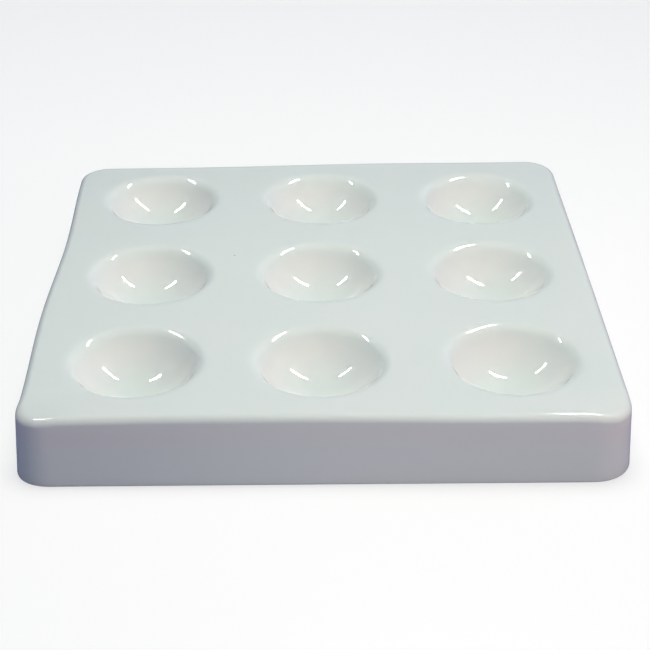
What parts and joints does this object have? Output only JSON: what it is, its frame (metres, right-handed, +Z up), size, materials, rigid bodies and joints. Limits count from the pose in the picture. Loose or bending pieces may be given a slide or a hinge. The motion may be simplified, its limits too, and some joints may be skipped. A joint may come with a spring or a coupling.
{
  "type": "mixing palette",
  "caption": "Square glazed porcelain paint-mixing palette with a grid of round, soft-lipped wells and a hollow underside that stands on a narrow foot.",
  "frame": {"origin": "centre of the flat foot, on the surface that the palette stands on", "axes": "+Z up through the slab, out of the wells' mouths; -Y towards the front edge; +X to the right along the front edge"},
  "size_m": [0.095, 0.095, 0.012],
  "materials": {
    "porcelain": "matte",
    "glaze": "gloss"
  },
  "bodies": {
    "root": {"porcelain_body": "porcelain", "outer_glaze": "glaze", "underside_glaze": "glaze"}
  },
  "joints": []
}
